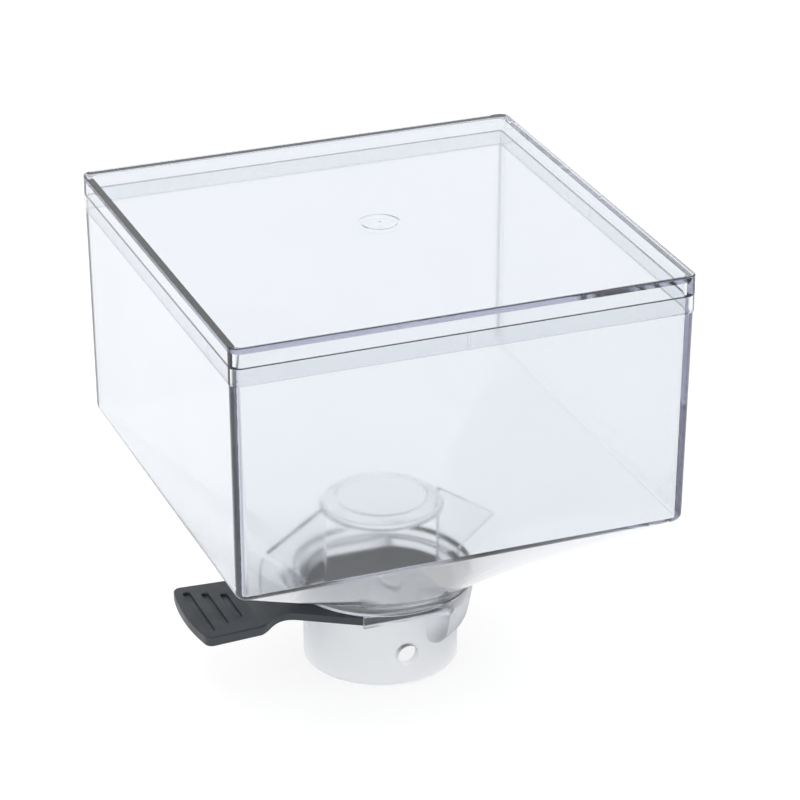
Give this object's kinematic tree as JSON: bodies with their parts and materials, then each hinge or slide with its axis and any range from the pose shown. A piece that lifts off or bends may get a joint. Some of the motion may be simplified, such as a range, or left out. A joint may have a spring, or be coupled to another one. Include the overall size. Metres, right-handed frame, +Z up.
{
  "type": "bean hopper",
  "caption": "Clear square bin with lift-off lid, funnel to a round outlet collar, finger guard over the throat and a black slide gate with a grooved handle.",
  "frame": {"origin": "centre of the outlet collar's bottom face, on the collar's axis", "axes": "+Z up along the collar's axis; -X towards the gate's handle; -Y towards the clamping screw hole"},
  "size_m": [0.17, 0.17, 0.1741],
  "materials": {
    "clear_body": "clear moulded plastic, polished",
    "clear_lid": "clear moulded plastic, polished",
    "clear_collar": "clear moulded plastic, slightly hazy",
    "clear_guard": "clear moulded plastic, slightly hazy",
    "black_gate": "fine moulded texture, satin black"
  },
  "bodies": {
    "hopper": {"hopper_body": "clear_body", "outlet_collar": "clear_collar", "finger_guard": "clear_guard"},
    "lid": {"lid": "clear_lid"},
    "gate": {"slide_gate": "black_gate"}
  },
  "joints": [
    {"name": "lid_lift", "type": "slide", "parent": "hopper", "child": "lid", "axis": [0, 0, 1], "range_m": [0, 0.06]},
    {"name": "gate_slide", "type": "slide", "parent": "hopper", "child": "gate", "axis": [-1, 0, 0], "range_m": [0, 0.044]}
  ]
}
